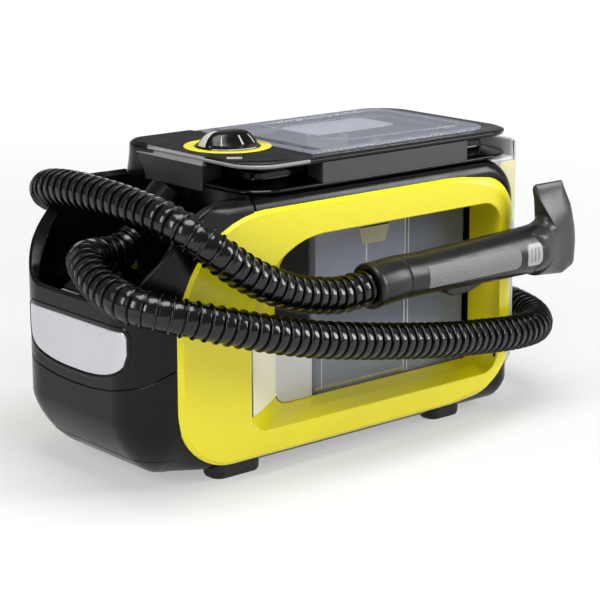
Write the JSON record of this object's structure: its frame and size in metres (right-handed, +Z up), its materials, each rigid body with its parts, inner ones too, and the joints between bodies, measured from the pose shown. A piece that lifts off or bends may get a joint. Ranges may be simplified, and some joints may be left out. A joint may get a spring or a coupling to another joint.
{
  "type": "spot extractor",
  "caption": "Portable battery spot extractor: yellow and black body with a removable dirty-water tank, a clean-water tank, and a ribbed hose wound round it to a hand nozzle.",
  "frame": {"origin": "on the floor, at the middle of the footprint of the machine with its hand tool, the hose left out", "axes": "+Z up; the nameplate looks to -X, the clean-water tank is at the +X end, and the hand tool hangs on the -Y side"},
  "size_m": [0.5298, 0.2967, 0.274],
  "materials": {
    "black_plastic": "glossy black moulding",
    "yellow_plastic": "semi-gloss yellow",
    "dark_grey_plastic": "satin dark grey",
    "light_grey_plastic": "satin light grey",
    "grip_rubber": "fine textured grey",
    "nameplate_silver": "satin silver, bare",
    "rubber": "matt black",
    "smoke_plastic": "smoked transparent",
    "milky_plastic": "translucent white",
    "label_cream": "bare label",
    "motor_steel": "steel",
    "impeller": "natural moulding",
    "filter_foam": "open foam",
    "circuit_board": "green board",
    "hose_black": "glossy black ribbed"
  },
  "bodies": {
    "machine_body": {"base_tub": "black_plastic", "front_housing": "black_plastic", "upper_shell": "black_plastic", "motor_bulkhead": "black_plastic", "tank_partition": "black_plastic", "bay_liner_near": "black_plastic", "bay_liner_far": "black_plastic", "top_rail": "black_plastic", "nameplate_bezel": "black_plastic", "hose_port": "black_plastic", "battery_contacts": "black_plastic", "fan_housing": "black_plastic", "tool_handle": "black_plastic", "side_frame_near": "yellow_plastic", "side_frame_far": "yellow_plastic", "dial_ring": "yellow_plastic", "rail_panel_front": "dark_grey_plastic", "rail_panel_near": "dark_grey_plastic", "rail_panel_far": "dark_grey_plastic", "label_plate_near": "light_grey_plastic", "label_plate_far": "light_grey_plastic", "index_mark": "light_grey_plastic", "recess_mark_front": "light_grey_plastic", "recess_mark_side": "light_grey_plastic", "water_tube": "light_grey_plastic", "tank_coupling": "light_grey_plastic", "grip_inlay": "grip_rubber", "nameplate": "nameplate_silver", "foot_front_near": "rubber", "foot_front_far": "rubber", "foot_rear_near": "rubber", "foot_rear_far": "rubber", "motor_mount": "rubber", "suction_duct": "rubber", "suction_motor": "motor_steel", "trigger_pin": "motor_steel", "water_pump": "impeller", "exhaust_filter": "filter_foam", "control_board": "circuit_board", "hose": "hose_black"},
    "dial": {"dial_knob": "black_plastic"},
    "battery": {"battery_pack": "dark_grey_plastic"},
    "battery_release": {"battery_button": "yellow_plastic"},
    "dirty_water_tank": {"dirty_tank": "smoke_plastic", "tank_baffle": "smoke_plastic", "inlet_duct": "smoke_plastic"},
    "lid": {"tank_lid": "smoke_plastic", "lid_gasket": "rubber", "float_cage": "light_grey_plastic"},
    "float": {"float_ball": "yellow_plastic"},
    "clean_water_tank": {"fresh_tank": "milky_plastic", "fresh_tank_label": "label_cream"},
    "plug": {"filler_plug": "rubber"},
    "fan": {"fan_impeller": "impeller"},
    "cuff": {"hose_cuff": "black_plastic"},
    "trigger": {"spray_trigger": "light_grey_plastic"},
    "tool_button": {"nozzle_button": "light_grey_plastic"},
    "nozzle": {"nozzle_head": "dark_grey_plastic", "spray_jet": "black_plastic"}
  },
  "joints": [
    {"name": "dial_turn", "type": "hinge", "parent": "machine_body", "child": "dial", "pos_m": [-0.074, 0.021, 0.2592], "axis": [0, 0, 1], "range_deg": [0, 90]},
    {"name": "battery_lift", "type": "slide", "parent": "machine_body", "child": "battery", "axis": [0, 0, 1], "range_m": [0, 0.006]},
    {"name": "battery_button_press", "type": "slide", "parent": "battery", "child": "battery_release", "axis": [0, 0, -1], "range_m": [0, 0.0025], "stiffness_N_per_m": 400},
    {"name": "dirty_tank_lift", "type": "slide", "parent": "machine_body", "child": "dirty_water_tank", "axis": [0, 0, 1], "range_m": [0, 0.24]},
    {"name": "lid_lift", "type": "slide", "parent": "dirty_water_tank", "child": "lid", "axis": [0, 0, 1], "range_m": [0, 0.07]},
    {"name": "float_rise", "type": "slide", "parent": "lid", "child": "float", "axis": [0, 0, 1], "range_m": [0, 0.024]},
    {"name": "clean_tank_tilt", "type": "hinge", "parent": "machine_body", "child": "clean_water_tank", "pos_m": [0.2, 0.021, 0.036], "axis": [0, 1, 0], "range_deg": [0, 8]},
    {"name": "filler_plug_pull", "type": "slide", "parent": "clean_water_tank", "child": "plug", "axis": [0, 0, 1], "range_m": [0, 0.012]},
    {"name": "fan_spin", "type": "hinge", "parent": "machine_body", "child": "fan", "pos_m": [-0.076, 0.021, 0.1], "axis": [0, 0, 1], "continuous": true},
    {"name": "cuff_swivel", "type": "hinge", "parent": "machine_body", "child": "cuff", "pos_m": [-0.02, -0.0985, 0.151], "axis": [0.9969, 0, 0.0785], "continuous": true},
    {"name": "trigger_squeeze", "type": "hinge", "parent": "machine_body", "child": "trigger", "pos_m": [0.07375, -0.0985, 0.13882], "axis": [0, -1, 0], "range_deg": [0, 4], "stiffness_Nm_per_rad": 0.3},
    {"name": "tool_button_press", "type": "slide", "parent": "machine_body", "child": "tool_button", "axis": [0, 1, 0], "range_m": [0, 0.0014], "stiffness_N_per_m": 400},
    {"name": "nozzle_pull", "type": "slide", "parent": "machine_body", "child": "nozzle", "axis": [0.9969, 0, 0.0785], "range_m": [0, 0.04]}
  ]
}
